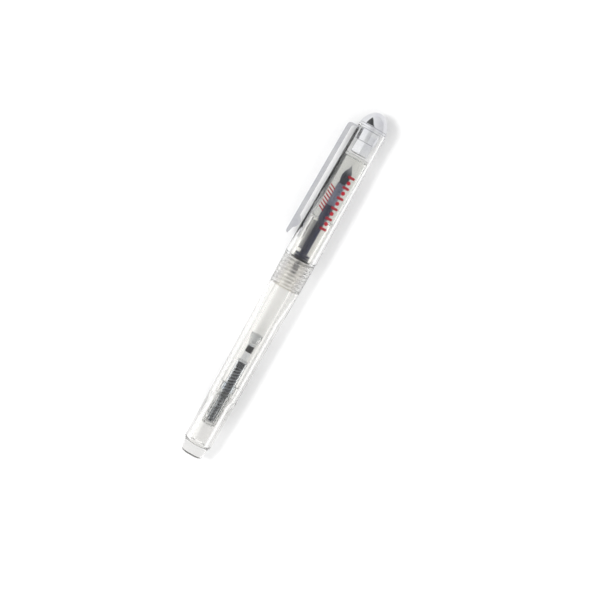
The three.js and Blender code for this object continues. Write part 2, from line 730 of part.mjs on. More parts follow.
// Narrows the clip evenly from its bend to its tip
function narrowed(geometry, tip) {
  const position = geometry.attributes.position;
  for (let i = 0; i < position.count; i += 1) {
    const along = Math.min(1, Math.max(0, (strapRear - position.getX(i)) / (strapRear - tip)));
    const share = 1 + (CLIP_TIP_WIDTH / CLIP_WIDTH - 1) * along;
    const inFoot = position.getY(i) < capTopR + CLIP_SLOT_PLAY / 2;
    position.setZ(i, position.getZ(i) * (inFoot ? 1 : share));
  }
  geometry.computeVertexNormals();
  return geometry;
}

add('barrel_tube', barrelTube(), CLEAR());
add('barrel_end_plug', endPlug(), CLEAR());
add('trim_ring', trimRing(), CLEAR());
add('grip_section', gripSection(), CLEAR());
add('converter_nipple', nipple(), INK_BLACK());
add('ink_feed', inkFeed(), NAVY());
add('brush_ferrule', ferrule(), finish(0x66708a, 0.35));
add('brush_tuft', tuft(), finish(0x4a5062, 0.8));
add('ink_wick', wick(), finish(0x2a2f48, 0.9));
add('converter_tube', converterTube(), CLEAR());
add('guide_bush', guideBush(), finish(0xd9dad8, 0.4));
add('converter_knob', converterKnob(), finish(0xd8dad9, 0.2, 0, 0.5));
add('spindle', spindle(), finish(0x2b2f45, 0.4));
add('piston_carrier', pistonCarrier(), finish(0xdfe6ee, 0.15, 0, 0.4));
add('ribbed_bush', ribbedBush(), INK_BLACK());
add('piston_washer', washer(), INK_BLACK());
add('piston_cup', pistonCup(), finish(0xe2e6e8, 0.3, 0, 0.55));
add('cap_tube', capTube(), CLEAR());
add('inner_cap', innerCap(), FROSTED());
add('finial_dome', finialDome(), CHROME());
add('finial_bushing', finialBushing(), CHROME());
add('finial_nut', finialNut(), CHROME());
add('clip', clip(), CHROME());

export default pen;
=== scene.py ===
import math

import bmesh
import bpy
from mathutils import Matrix, Vector


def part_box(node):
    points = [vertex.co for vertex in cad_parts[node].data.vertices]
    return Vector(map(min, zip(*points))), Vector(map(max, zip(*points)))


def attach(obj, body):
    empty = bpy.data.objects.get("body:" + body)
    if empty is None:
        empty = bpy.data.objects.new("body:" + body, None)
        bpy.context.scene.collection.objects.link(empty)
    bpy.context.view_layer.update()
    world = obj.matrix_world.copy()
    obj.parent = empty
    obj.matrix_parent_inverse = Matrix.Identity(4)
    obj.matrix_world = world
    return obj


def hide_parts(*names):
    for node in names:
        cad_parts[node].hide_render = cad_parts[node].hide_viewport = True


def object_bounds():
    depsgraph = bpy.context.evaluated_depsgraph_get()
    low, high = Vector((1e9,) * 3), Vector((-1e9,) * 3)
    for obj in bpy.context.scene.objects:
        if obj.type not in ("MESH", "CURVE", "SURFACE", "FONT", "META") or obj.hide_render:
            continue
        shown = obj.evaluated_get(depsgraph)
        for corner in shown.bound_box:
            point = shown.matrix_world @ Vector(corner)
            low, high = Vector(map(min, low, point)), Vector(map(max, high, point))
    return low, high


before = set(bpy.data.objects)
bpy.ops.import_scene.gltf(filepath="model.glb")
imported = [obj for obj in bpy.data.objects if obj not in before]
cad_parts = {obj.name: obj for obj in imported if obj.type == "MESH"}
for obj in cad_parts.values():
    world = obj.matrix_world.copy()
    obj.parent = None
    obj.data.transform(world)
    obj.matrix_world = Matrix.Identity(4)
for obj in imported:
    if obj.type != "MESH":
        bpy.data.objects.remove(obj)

cad_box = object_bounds()

# Sizes are in millimetres until a mesh is made. The pen lies along X, its clip on the +Y side.
MM = 0.001
ROUND_SIDES = 96
SMALL_SIDES = 64
HAIR_SIDES = 5

# Fits between neighbours
FIT = 0.05
PIN_FIT = 0.06
FLANGE_GAP = 0.02

# Barrel, plug and ring: bores and walls that a node's box does not give
BARREL_REAR_R = 5.1
BARREL_BORE_R = 3.75
KNOB_ROOM_R = 3.0
KNOB_ROOM_GAP = 1.0
KNOB_ROOM_TAPER = 3.5
NUT_ROOT_R = 5.0
NUT_GAP = 0.1
RING_BORE_R = 4.3
PLUG_FACE_R = 3.95
PLUG_SPIGOT = 1.0
PLUG_LIP = 0.1
PLUG_HOLLOW = 0.6
PLUG_HOLLOW_SHARE = 0.72

# Threads and ribs
THREAD_PITCH = 1.27
THREAD_DEPTH = 0.35
THREAD_RUNOUT = 12.0
THREAD_STEP = 0.1
THREAD_FADE = 0.8
THREAD_SHARPNESS = 0.6
WALL_REACH = 0.05

# Grip section and nipple
SECTION_R = 4.5
SECTION_BORE_R = 2.95
SECTION_REAR_BORE_R = 3.6
SECTION_MOUTH = 0.6
SECTION_MOUTH_R = 2.2
SPIGOT_CORE_R = 4.2
SPIGOT_RELIEF = 0.9
NIPPLE_R = 1.25
NIPPLE_BORE_R = 0.6
NIPPLE_FLANGE = 1.2
NIPPLE_LEAD = 0.6
NIPPLE_LEAD_R = 1.0

# Converter
TUBE_BORE_R = 2.3
TUBE_COUNTERBORE = 4.4
TUBE_COUNTERBORE_R = 2.85
TUBE_MOUTH = 4.0
TUBE_MOUTH_R = 1.35
TUBE_CHAMFER = 0.6
KNOB_GAP = 0.5
KNOB_NECK = 1.4
KNOB_NECK_R = 2.75
KNOB_R = 2.6
KNOB_ROUND = 0.4
KNOB_RIBS = 18
KNOB_RIB_HEIGHT = 0.2
KNOB_RIB_FADE = 0.6
KNOB_FLOOR = 1.2
KNOB_BORE_R = 2.13
SPINDLE_ROOT_R = 1.05
SPINDLE_LEAD = 2.4
SPINDLE_STARTS = 2.0
SPINDLE_FADE = 0.5
SPINDLE_COLLAR = 2.3
CARRIER_NECK_R = 1.2
CARRIER_PIN_R = 0.7
BUSH_RIBS = 3
CUP_WALL = 0.4
CUP_FLARE = 0.25
CUP_FLOOR = 1.2
CUP_LIP = 0.6
CUP_SKIRT = 1.6
CUP_PIN_DEPTH = 0.8

# Feed, wick, ferrule and tuft
FEED_CORE_R = 1.4
FEED_NOSE_R = 1.7
FEED_NOSE = 5.5
FEED_NOSE_STEP = 0.6
FEED_COLLAR = 0.65
FEED_COLLAR_GAP = 0.3
FEED_TAIL = 3.1
FERRULE_SOCKET = 3.1
FERRULE_SOCKET_R = 1.06
FERRULE_TAIL = 3.0
FERRULE_TAIL_R = 1.0
FERRULE_CUP = 4.1
FIN_PITCH = 0.62
FIN_THICKNESS = 0.22
FIN_NOTCH = math.radians(4)
FIN_NOTCH_FLOOR = 0.3
FIN_STEPS = 20
WICK_BORE_R = 0.51
TUFT_ROOT_R = 1.25
TUFT_R = 1.75
TUFT_INSET = 0.08
HAIRS = 420
HAIR_SEED = 11
HAIR_SHORTEST = 0.86
# One hair of unit length: station along it and radius
HAIR = [(0.0, 0.0), (0.0, 0.05), (0.35, 0.055), (0.6, 0.05), (0.8, 0.04), (0.93, 0.025), (1.0, 0.0)]

# Cap, clip and finial
CAP_BORE_R = 4.6
CAP_TOP_R = 5.25
SLOT_LOW_Y = 3.6
SLOT_HIGH_Y = 12.0
SLOT_HALF = 1.5
SLOT_ROOM = 0.3
STRAP_THICKNESS = 0.6
INNER_CAP_WALL = 0.8
INNER_CAP_ROOF = 1.0
STUD_R = 1.4
FINIAL_SEAT = 0.7
DOME_HEIGHT = 5.2
DOME_LONG_RADIUS = 8.0
DOME_SETBACK = 0.12
DOME_STEPS = 28
DOME_GROOVE = 0.2
DOME_GROOVE_CHAMFER = 0.15
DOME_GROOVE_DEPTH = 0.25
CLIP_ROUNDING = 1.1
CLIP_LOWER_SHARE = 0.27
CLIP_SMALL_SHARE = 0.09
CLIP_INNER_HALF = 1.2
CLIP_OUTER_BAND = 1.4
CLIP_LENGTHWAYS = 0.3

# Printed ornament. Each row: name, motif length, width and slant, count, pitch, first station, offset
PRINT_LIFT = 0.004
PRINT_TOP = 0.02
PRINT_ROWS = [
    ("print_bars", 0.95, 2.7, 0.0, 6, 4.0, 92.5, -1.95),
    ("print_dots", 1.45, 1.45, 0.0, 5, 4.0, 94.5, -1.95),
    ("print_strokes", 0.5, 2.4, 0.45, 8, 1.2, 98.6, 2.5)]

# Mesh making
MERGE_DISTANCE = 1e-6
FLAT_ANGLE = math.radians(1)
SHARP_EDGE = math.radians(35)
CAD_SHARP_EDGE = math.radians(25)
NEARLY_STRAIGHT = 1.5
EASE_LIMIT = 0.4
EASE_MARGIN = 0.25


def span(node):
    """Rear station, front station and radius of a turned CAD node."""
    low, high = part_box(node)
    return low.x / MM, high.x / MM, high.z / MM


# ---------------------------------------------------------------- node trees

class Signal:
    """An output of a node. Each operator adds the Math node that works it out."""

    def __init__(self, graph, socket):
        self.graph = graph
        self.socket = socket

    def at(self, name):
        return Signal(self.graph, self.socket.node.outputs[name])

    def __add__(self, other):
        return self.graph.maths("ADD", self, other)

    def __sub__(self, other):
        return self.graph.maths("SUBTRACT", self, other)

    def __rsub__(self, other):
        return self.graph.maths("SUBTRACT", other, self)

    def __mul__(self, other):
        return self.graph.maths("MULTIPLY", self, other)

    def __truediv__(self, other):
        return self.graph.maths("DIVIDE", self, other)

    def __pow__(self, other):
        return self.graph.maths("POWER", self, other)

    __radd__ = __add__
    __rmul__ = __mul__


class Graph:
    """Builds a material's or a modifier's nodes."""

    def __init__(self, tree):
        self.tree = tree

    def node(self, kind, settings=None, inputs=None):
        node = self.tree.nodes.new(kind)
        for name, value in (settings or {}).items():
            if name == "stops":
                set_stops(node.color_ramp, value)
            else:
                setattr(node, name, value)
        for key, value in (inputs or {}).items():
            if isinstance(value, Signal):
                self.tree.links.new(value.socket, node.inputs[key])
            else:
                node.inputs[key].default_value = value
        outputs = [socket for socket in node.outputs if socket.enabled]
        return Signal(self, outputs[0]) if outputs else node

    def maths(self, operation, *values):
        return self.node("ShaderNodeMath", {"operation": operation}, dict(enumerate(values)))

    def smooth(self, value, low, high):
        inputs = {"Value": value, "From Min": low, "From Max": high}
        return self.node("ShaderNodeMapRange", {"interpolation_type": "SMOOTHSTEP"}, inputs)

    def axes(self, place):
        """A vector whose X, Y and Z can each be taken with at()."""
        return self.node("ShaderNodeSeparateXYZ", None, {"Vector": place})

    def vector(self, **parts):
        return self.node("ShaderNodeCombineXYZ", None, parts)


def set_stops(ramp, stops):
    while len(ramp.elements) < len(stops):
        ramp.elements.new(1.0)
    for element, (place, color) in zip(ramp.elements, stops):
        element.position = place
        element.color = (*color, 1.0)


# ---------------------------------------------------------------- materials

def material(name, color, roughness, **constants):
    """A Principled material, its graph and its shader node, with constants set on the shader."""
    made = bpy.data.materials.new(name)
    made.use_nodes = True
    shader = made.node_tree.nodes["Principled BSDF"]
    shader.inputs["Base Color"].default_value = (*color, 1.0)
    shader.inputs["Roughness"].default_value = roughness
    for label, value in constants.items():
        shader.inputs[label.replace("_", " ")].default_value = value
    return made, Graph(made.node_tree), shader


def feed(graph, shader, name, signal):
    graph.tree.links.new(signal.socket, shader.inputs[name])


def own_place(graph):
    """The place of a point in the piece's own coordinates."""
    return graph.node("ShaderNodeTexCoord").at("Object")


def noise(graph, stretch, scale, detail=3.0):
    """Noise on the piece's own coordinates, stretched along any axis."""
    mapped = graph.node("ShaderNodeMapping", None, {"Vector": own_place(graph), "Scale": stretch})
    return graph.node("ShaderNodeTexNoise", None, {"Vector": mapped, "Scale": scale, "Detail": detail})


def mottled(graph, signal, dark, light, low=0.35, high=0.65):
    """Colours between dark and light, following a signal."""
    stops = [(low, dark), (high, light)]
    return graph.node("ShaderNodeValToRGB", {"stops": stops}, {"Fac": signal})


def bump(graph, shader, height, strength, distance):
    inputs = {"Height": height, "Strength": strength, "Distance": distance}
    feed(graph, shader, "Normal", graph.node("ShaderNodeBump", None, inputs))


def moulded(name, dark, light, roughness, grain=0.15, **constants):
    """Moulded plastic: slow colour drift, a fine grain and a slightly uneven gloss."""
    made, graph, shader = material(name, light, roughness, **constants)
    drift = noise(graph, (1.0, 1.0, 1.0), 380.0)
    fine = noise(graph, (1.0, 1.0, 1.0), 5200.0, 2.0)
    feed(graph, shader, "Base Color", mottled(graph, drift, dark, light))
    feed(graph, shader, "Roughness", roughness * 0.8 + drift * roughness * 0.4)
    bump(graph, shader, fine, grain, 0.00002)
    return made


# Stacked clear walls would turn milky at full gloss, so theirs is faint
FAINT_GLOSS = (0.3, 0.3, 0.3, 1.0)
STYRENE_IOR = 1.49
SOFT_PLASTIC_IOR = 1.45


def clear_plastic(name, dark, light, clarity, roughness):
    """Clear styrene, with faint flow lines along the pen and a few fine scuffs."""
    made, graph, shader = material(
        name, light, roughness, Transmission_Weight=clarity, IOR=STYRENE_IOR, Specular_Tint=FAINT_GLOSS)
    flow = noise(graph, (0.12, 1.0, 1.0), 420.0)
    scuffs = noise(graph, (0.05, 1.0, 1.0), 9000.0, 2.0)
    worn = graph.smooth(scuffs, 0.66, 0.8)
    feed(graph, shader, "Base Color", mottled(graph, flow, dark, light))
    feed(graph, shader, "Roughness", roughness + worn * 0.12)
    bump(graph, shader, flow, 0.04, 0.0001)
    return made


def natural_plastic():
    """Clear, creamy plastic of the section, clouded where its thread has been moulded."""
    made, graph, shader = material(
        "natural_plastic", (0.97, 0.95, 0.91), 0.05,
        Transmission_Weight=0.985, IOR=STYRENE_IOR, Specular_Tint=FAINT_GLOSS)
    x = graph.axes(own_place(graph)).at("X")
    ring_rear, ring_front, _ = span("trim_ring")
    cloud = noise(graph, (0.4, 1.0, 1.0), 300.0)
    behind = 1.0 - graph.smooth(x + (cloud - 0.5) * 0.001, ring_rear * MM, (ring_front + 0.8) * MM)
    tint = mottled(graph, behind, (0.98, 0.97, 0.94), (0.99, 0.97, 0.93), 0.0, 1.0)
    feed(graph, shader, "Base Color", tint)
    feed(graph, shader, "Roughness", 0.04 + cloud * 0.03 + behind * 0.2)
    bump(graph, shader, noise(graph, (1.0, 1.0, 1.0), 4200.0), 0.08, 0.00002)
    return made


def frosted_plastic():
    """Natural, cloudy plastic of the inner cap."""
    made, graph, shader = material(
        "frosted_plastic", (0.97, 0.97, 0.95), 0.12,
        Transmission_Weight=0.985, IOR=SOFT_PLASTIC_IOR, Specular_Tint=FAINT_GLOSS)
    cloud = noise(graph, (0.5, 1.0, 1.0), 260.0)
    grain = noise(graph, (1.0, 1.0, 1.0), 4200.0)
    feed(graph, shader, "Base Color", mottled(graph, cloud, (0.94, 0.94, 0.915), (0.98, 0.98, 0.96)))
    feed(graph, shader, "Roughness", 0.1 + cloud * 0.08)
    bump(graph, shader, grain, 0.12, 0.00002)
    return made


def chrome():
    """Bright plated metal with hairline polishing marks."""
    made, graph, shader = material("chrome", (0.66, 0.665, 0.685), 0.1, Metallic=1.0)
    marks = noise(graph, (0.08, 1.0, 1.0), 7000.0, 2.0)
    smear = noise(graph, (1.0, 1.0, 1.0), 300.0)
    feed(graph, shader, "Base Color", mottled(graph, smear, (0.62, 0.625, 0.66), (0.68, 0.685, 0.70)))
    feed(graph, shader, "Roughness", 0.06 + marks * 0.07 + smear * 0.03)
    bump(graph, shader, marks, 0.03, 0.00001)
    return made


def bristles():
    """Synthetic hair, inky at the root and paler towards the point."""
    made, graph, shader = material("bristle", (0.05, 0.055, 0.075), 0.45)
    strands = noise(graph, (0.03, 1.0, 1.0), 9000.0, 1.0)
    x = graph.axes(own_place(graph)).at("X")
    ferrule_front, tip = span("brush_ferrule")[1] * MM, span("brush_tuft")[1] * MM
    pale_from = ferrule_front + (tip - ferrule_front) * 0.3
    paleness = graph.smooth(x, pale_from, tip) * 0.8 + (strands - 0.5) * 0.4
    tint = mottled(graph, paleness, (0.02, 0.026, 0.05), (0.46, 0.47, 0.50), 0.05, 0.6)
    feed(graph, shader, "Base Color", tint)
    feed(graph, shader, "Roughness", 0.38 + strands * 0.25)
    bump(graph, shader, strands, 0.3, 0.00003)
    return made


def stained_screw():
    """Dark screw whose grooves have paled: the colour follows the distance from the axis."""
    made, graph, shader = material("inky_spindle", (0.02, 0.024, 0.05), 0.35)
    place = graph.axes(own_place(graph))
    y, z = place.at("Y"), place.at("Z")
    blotch = noise(graph, (1.0, 1.0, 1.0), 900.0)
    reach = (y * y + z * z) ** 0.5 + (blotch - 0.5) * 0.00012
    groove_r, crest_r = 1.16 * MM, 1.34 * MM
    crest = graph.smooth(reach, groove_r, crest_r)
    tint = mottled(graph, crest, (0.50, 0.51, 0.56), (0.012, 0.015, 0.035), 0.2, 0.8)
    feed(graph, shader, "Base Color", tint)
    feed(graph, shader, "Roughness", 0.28 + blotch * 0.2)
    bump(graph, shader, noise(graph, (1.0, 1.0, 1.0), 5200.0, 2.0), 0.15, 0.00002)
    return made


def wick_fibre():
    made, graph, shader = material("wick_fibre", (0.03, 0.035, 0.07), 0.9)
    fibres = noise(graph, (0.04, 1.0, 1.0), 14000.0, 2.0)
    feed(graph, shader, "Base Color", mottled(graph, fibres, (0.012, 0.016, 0.04), (0.06, 0.07, 0.13)))
    feed(graph, shader, "Roughness", 0.75 + fibres * 0.25)
    bump(graph, shader, fibres, 0.6, 0.00004)
    return made


def red_ink():
    """Printed ornament: opaque red ink, a little thin in places."""
    made, graph, shader = material("red_ink", (0.38, 0.002, 0.015), 0.35)
    coverage = noise(graph, (1.0, 1.0, 1.0), 2600.0)
    feed(graph, shader, "Base Color", mottled(graph, coverage, (0.33, 0.0, 0.01), (0.42, 0.003, 0.018)))
    feed(graph, shader, "Roughness", 0.3 + coverage * 0.2)
    bump(graph, shader, coverage, 0.1, 0.00001)
    return made


CLEAR = clear_plastic("clear_plastic", (0.985, 0.987, 0.982), (1.0, 1.0, 0.995), 1.0, 0.01)
HAZY = clear_plastic("hazy_plastic", (0.93, 0.925, 0.91), (0.97, 0.965, 0.955), 0.985, 0.03)
NATURAL = natural_plastic()
FROSTED = frosted_plastic()
CHROME = chrome()
BRISTLE = bristles()
WICK = wick_fibre()
RED_INK = red_ink()
BLACK = moulded("black_plastic", (0.007, 0.007, 0.009), (0.014, 0.014, 0.018), 0.35)
NAVY = moulded("navy_plastic", (0.006, 0.009, 0.04), (0.012, 0.019, 0.075), 0.3)
SLATE = moulded("slate_plastic", (0.12, 0.14, 0.205), (0.17, 0.195, 0.27), 0.3)
INKY = stained_screw()
SMOKY = clear_plastic("smoky_plastic", (0.90, 0.905, 0.90), (0.96, 0.965, 0.96), 0.95, 0.04)
PALE = clear_plastic("pale_plastic", (0.90, 0.93, 0.97), (0.95, 0.97, 0.99), 0.97, 0.02)
MILKY = clear_plastic("milky_plastic", (0.90, 0.915, 0.93), (0.96, 0.97, 0.98), 0.85, 0.12)


# ---------------------------------------------------------------- mesh helpers

def rounded(points, radius, steps=4):
    """Closed profile with its corners eased by arcs, and a point beside each arc so flats stay flat."""
    eased = []
    for i, corner in enumerate(points):
        p, a, b = Vector(corner), Vector(points[i - 1]), Vector(points[(i + 1) % len(points)])
        to_a, to_b = (a - p), (b - p)
        half = to_a.angle(to_b) / 2
        on_axis = p.y == 0
        if on_axis or half > NEARLY_STRAIGHT:
            eased.append(tuple(p))
            continue
        reach = min(radius / math.tan(half), EASE_LIMIT * to_a.length, EASE_LIMIT * to_b.length)
        centre = p + (to_a.normalized() + to_b.normalized()).normalized() * reach / math.cos(half)
        start, end = p + to_a.normalized() * reach, p + to_b.normalized() * reach
        first = math.atan2(start.y - centre.y, start.x - centre.x)
        turn = math.atan2(end.y - centre.y, end.x - centre.x) - first
        turn = (turn + math.pi) % (2 * math.pi) - math.pi
        size = (start - centre).length
        eased.append(tuple(start + to_a.normalized() * reach * EASE_MARGIN))
        for k in range(steps + 1):
            angle = first + turn * k / steps
            eased.append((centre.x + size * math.cos(angle), centre.y + size * math.sin(angle)))
        eased.append(tuple(end + to_b.normalized() * reach * EASE_MARGIN))
    return eased


def turned_mesh(name, profile, sides):
    """Turns a closed profile of (x, radius) points about the X axis."""
    bm = bmesh.new()
    rings = []
    for x, r in profile:
        if r <= MERGE_DISTANCE:
            rings.append([bm.verts.new((x * MM, 0, 0))])
            continue
        ring = []
        for k in range(sides):
            turn = 2 * math.pi * k / sides
            ring.append(bm.verts.new((x * MM, r * MM * math.cos(turn), r * MM * math.sin(turn))))
        rings.append(ring)
    for i, ring in enumerate(rings):
        after = rings[(i + 1) % len(rings)]
        if len(ring) == 1 and len(after) == 1:
            continue
        for k in range(sides):
            corners = [ring[k % len(ring)], ring[(k + 1) % len(ring)]]
            corners += [after[(k + 1) % len(after)], after[k % len(after)]]
            bm.faces.new(list(dict.fromkeys(corners)))
    bmesh.ops.recalc_face_normals(bm, faces=bm.faces)
    return mesh_from(bm, name)


def mesh_from(bm, name, sharp=SHARP_EDGE):
    for face in bm.faces:
        face.smooth = True
    for edge in bm.edges:
        if len(edge.link_faces) == 2 and edge.calc_face_angle(0.0) > sharp:
            edge.smooth = False
    mesh = bpy.data.meshes.new(name)
    bm.to_mesh(mesh)
    bm.free()
    return mesh


def placed(name, mesh, finish):
    piece = bpy.data.objects.new(name, mesh)
    bpy.context.scene.collection.objects.link(piece)
    piece.data.materials.clear()
    piece.data.materials.append(finish)
    return piece


def turned(name, profile, finish, ease=0.08, sides=SMALL_SIDES):
    return placed(name, turned_mesh(name, rounded(profile, ease), sides), finish)


# Hidden from diffuse rays, so that bounced light reaches the floor beneath them
CLEAR_SHELLS = (
    "barrel_shell", "barrel_plug", "trim_ring_band", "section_shell", "converter_shell", "cap_shell",
    "inner_cap_liner")


def assign(piece, body, slot, *nodes):
    """Joins a finished piece to its body and hides the CAD nodes that it stands for. The slot is not used.
    """
    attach(piece, body)
    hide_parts(*nodes)
    if piece.name in CLEAR_SHELLS:
        piece.visible_diffuse = False
    return piece


def evenly(first, last, radius, spacing):
    """Stations along a straight wall, close enough together for a thread to be raised on it."""
    count = max(1, round(abs(last - first) / spacing))
    return [(first + (last - first) * k / count, radius) for k in range(count + 1)]


def merged(node):
    """A CAD node's mesh with its doubles merged and its flat faces whole."""
    bm = bmesh.new()
    bm.from_mesh(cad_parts[node].data)
    bmesh.ops.remove_doubles(bm, verts=bm.verts, dist=MERGE_DISTANCE)
    bmesh.ops.dissolve_limit(bm, angle_limit=FLAT_ANGLE, verts=bm.verts, edges=bm.edges)
    return bm


def copied(name, node, finish, ease, segments=3):
    """A merged copy of a CAD node with eased edges."""
    piece = placed(name, mesh_from(merged(node), name, CAD_SHARP_EDGE), finish)
    bevel = piece.modifiers.new("eased_edges", "BEVEL")
    bevel.width = ease * MM
    bevel.segments = segments
    bevel.angle_limit = CAD_SHARP_EDGE
    bevel.harden_normals = True
    bevel.use_clamp_overlap = True
    return baked(piece)


def baked(piece):
    """The piece with its modifiers turned into a plain mesh."""
    graph = bpy.context.evaluated_depsgraph_get()
    mesh = bpy.data.meshes.new_from_object(piece.evaluated_get(graph))
    piece.modifiers.clear()
    piece.data = mesh
    mesh.name = piece.name
    return piece


# ---------------------------------------------------------------- geometry trees

def geometry_tree(name, sizes):
    """An empty modifier tree with named inputs, its graph and its group input."""
    tree = bpy.data.node_groups.new(name, "GeometryNodeTree")
    kinds = {float: "NodeSocketFloat", int: "NodeSocketInt"}
    tree.interface.new_socket("Geometry", in_out="INPUT", socket_type="NodeSocketGeometry")
    for label, value in sizes.items():
        socket = tree.interface.new_socket(label, in_out="INPUT", socket_type=kinds[type(value)])
        socket.default_value = value
    tree.interface.new_socket("Finish", in_out="INPUT", socket_type="NodeSocketMaterial")
    tree.interface.new_socket("Geometry", in_out="OUTPUT", socket_type="NodeSocketGeometry")
    graph = Graph(tree)
    return graph, graph.node("NodeGroupInput")


# The Random Value node's float sockets share their names with others, so they go by number
RANDOM_LOW = 2
RANDOM_HIGH = 3


def vertex_place(graph):
    return graph.axes(graph.node("GeometryNodeInputPosition"))


def moved(graph, geometry, x, y, z):
    """The geometry with its points at new places."""
    inputs = {"Geometry": geometry, "Position": graph.vector(X=x, Y=y, Z=z)}
    return graph.node("GeometryNodeSetPosition", None, inputs)


def copies_on(graph, points, shape, **inputs):
    inputs = {"Points": points, "Instance": shape, **inputs}
    return graph.node("GeometryNodeInstanceOnPoints", None, inputs)


def close_tree(graph, given, geometry):
    """Ends a tree in Realize Instances and Set Material."""
    plain = graph.node("GeometryNodeRealizeInstances", None, {"Geometry": geometry})
    dressed = {"Geometry": plain, "Material": given.at("Finish")}
    graph.node("NodeGroupOutput", None, {"Geometry": graph.node("GeometryNodeSetMaterial", None, dressed)})
    return graph.tree


def grown(piece, tree, finish, **sizes):
    """Runs a tree on a piece with the given sizes, and keeps the result as a plain mesh."""
    modifier = piece.modifiers.new(tree.name, "NODES")
    modifier.node_group = tree
    values = {label.replace("_", " "): value for label, value in sizes.items()}
    values["Finish"] = finish
    for item in tree.interface.items_tree:
        if item.in_out == "INPUT" and item.name in values:
            modifier[item.identifier] = values[item.name]
    return baked(piece)


def screw_tree():
    """Raises ridges on the walls between two radii, wound about X. No coils makes straight ribs."""
    graph, given = geometry_tree("screw_form", {
        "Start": 0.0, "End": 0.01, "Low": 0.0, "High": 1.0,
        "Starts": 1.0, "Coils": 0.0, "Depth": 0.0, "Run Out": 0.0005, "Sharpness": 0.5})
    place = vertex_place(graph)
    x, y, z = place.at("X"), place.at("Y"), place.at("Z")
    radius = (y * y + z * z) ** 0.5
    turns = graph.maths("ARCTAN2", z, y) / (2 * math.pi)
    phase = graph.maths("FRACT", (x * given.at("Coils") - turns * given.at("Starts")) + 1000.0)
    peak = 1.0 - graph.maths("ABSOLUTE", phase * 2.0 - 1.0)
    ridge = graph.smooth(peak, 0.5 - given.at("Sharpness") * 0.5, 0.5 + given.at("Sharpness") * 0.5)
    rise = graph.smooth(x - given.at("Start"), 0.0, given.at("Run Out"))
    fall = graph.smooth(given.at("End") - x, 0.0, given.at("Run Out"))
    above = graph.maths("GREATER_THAN", radius, given.at("Low"))
    below = graph.maths("LESS_THAN", radius, given.at("High"))
    scale = 1.0 + ridge * rise * fall * above * below * given.at("Depth") / radius
    return close_tree(graph, given, moved(graph, given.at("Geometry"), x, y * scale, z * scale))


def row_tree():
    """Repeats the piece along X at an even pitch."""
    graph, given = geometry_tree("even_row", {"Count": 10, "Pitch": 0.001})
    step = graph.vector(X=given.at("Pitch"))
    line = graph.node("GeometryNodeMeshLine", None, {"Count": given.at("Count"), "Offset": step})
    return close_tree(graph, given, copies_on(graph, line, given.at("Geometry")))


def tuft_tree():
    """Stands hairs on a spiral of points and draws them together to a point."""
    graph, given = geometry_tree("bristle_tuft", {
        "Hairs": 300, "Root": 0.1, "Length": 0.012, "Held": 0.004,
        "Root Radius": 0.00125, "Belly Radius": 0.00175, "Seed": 3})
    count = given.at("Hairs")
    points = graph.node("GeometryNodeMeshLine", None, {"Count": count})
    index = graph.node("GeometryNodeInputIndex")
    share = ((index + 0.5) / count) ** 0.5
    angle = index * (math.pi * (3 - math.sqrt(5)))
    spread = share * given.at("Root Radius")
    across, up = spread * graph.maths("COSINE", angle), spread * graph.maths("SINE", angle)
    points = moved(graph, points, given.at("Root"), across, up)
    length = graph.node("FunctionNodeRandomValue", {"data_type": "FLOAT"}, {
        RANDOM_LOW: HAIR_SHORTEST, RANDOM_HIGH: 1.0, "Seed": given.at("Seed")})
    stretch = graph.vector(X=length * given.at("Length"), Y=1.0, Z=1.0)
    hairs = copies_on(graph, points, given.at("Geometry"), Scale=stretch)
    plain = graph.node("GeometryNodeRealizeInstances", None, {"Geometry": hairs})
    place = vertex_place(graph)
    along = (place.at("X") - given.at("Root") - given.at("Held")) / (given.at("Length") - given.at("Held"))
    swell = graph.smooth(along, 0.0, 0.3) * (given.at("Belly Radius") / given.at("Root Radius") - 1.0) + 1.0
    fall = graph.maths("MINIMUM", graph.maths("MAXIMUM", (along - 0.48) / 0.52, 0.0), 1.0)
    taper = (1.0 - graph.smooth(fall, -0.1, 1.0)) ** 1.5
    scale = swell * taper + 0.012
    drawn = moved(graph, plain, place.at("X"), place.at("Y") * scale, place.at("Z") * scale)
    return close_tree(graph, given, drawn)


def wrap_tree():
    """Repeats a flat motif along X and wraps it round a cone, above the +Z side."""
    graph, given = geometry_tree("printed_row", {
        "Count": 10, "Pitch": 0.002, "Start": 0.09, "Offset": 0.0,
        "Mouth": 0.08, "Top": 0.13, "Mouth Radius": 0.006, "Top Radius": 0.00525})
    step = graph.vector(X=given.at("Pitch"))
    start = graph.vector(X=given.at("Start"), Y=given.at("Offset"))
    line = graph.node("GeometryNodeMeshLine", None, {
        "Count": given.at("Count"), "Start Location": start, "Offset": step})
    copies = copies_on(graph, line, given.at("Geometry"))
    plain = graph.node("GeometryNodeRealizeInstances", None, {"Geometry": copies})
    place = vertex_place(graph)
    along = (place.at("X") - given.at("Mouth")) / (given.at("Top") - given.at("Mouth"))
    wall = given.at("Mouth Radius") + (given.at("Top Radius") - given.at("Mouth Radius")) * along
    angle = place.at("Y") / wall
    radius = wall + place.at("Z")
    across, up = radius * graph.maths("SINE", angle), radius * graph.maths("COSINE", angle)
    return close_tree(graph, given, moved(graph, plain, place.at("X"), across, up))


SCREW = screw_tree()
ROW = row_tree()
TUFT = tuft_tree()
PRINT = wrap_tree()


def ridged(piece, finish, wall_r, start, end, **sizes):
    """Raises a thread or ribs on the wall of one radius, between two stations."""
    return grown(piece, SCREW, finish, Start=start * MM, End=end * MM,
                 Low=(wall_r - WALL_REACH) * MM, High=(wall_r + WALL_REACH) * MM, **sizes)


# ---------------------------------------------------------------- barrel

